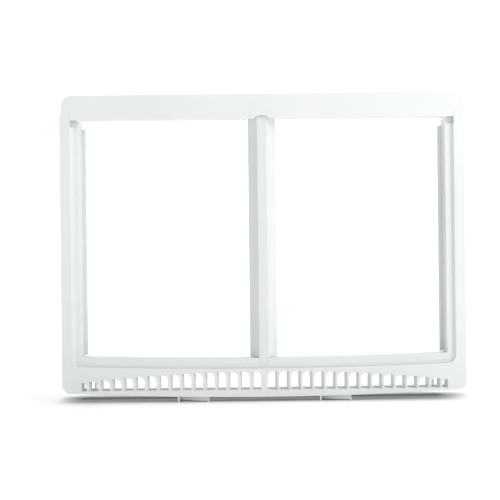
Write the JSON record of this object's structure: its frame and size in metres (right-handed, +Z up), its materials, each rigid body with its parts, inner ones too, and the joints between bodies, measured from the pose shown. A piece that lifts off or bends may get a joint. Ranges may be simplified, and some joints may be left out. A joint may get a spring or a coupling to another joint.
{
  "type": "refrigerator drawer cover frame",
  "caption": "White moulded cover frame for a pair of refrigerator drawers, with recessed glass ledges, a centre rail, drawer runners and a bowed vented front bar; glass not fitted.",
  "frame": {"origin": "on the surface that the bracket feet stand on, below the middle of the frame's width and depth", "axes": "+X across the frame to the right seen from the glass side, +Y from the glass side to the underside, +Z up from the feet to the rear bar"},
  "size_m": [0.62, 0.036, 0.4715],
  "materials": {
    "frame_plastic": "white impact polystyrene, satin with a fine moulded grain",
    "rail_plastic": "white polypropylene, smooth satin",
    "screw_steel": "zinc-plated self-tapping screws"
  },
  "bodies": {
    "root": {"cover_frame": "frame_plastic", "rear_bar": "frame_plastic", "centre_rail": "rail_plastic", "left_runner": "rail_plastic", "right_runner": "rail_plastic", "left_front_bracket": "rail_plastic", "right_front_bracket": "rail_plastic", "rear_bar_screws": "screw_steel", "centre_rail_screws": "screw_steel", "left_runner_screws": "screw_steel", "right_runner_screws": "screw_steel", "left_bracket_screws": "screw_steel", "right_bracket_screws": "screw_steel"}
  },
  "joints": []
}
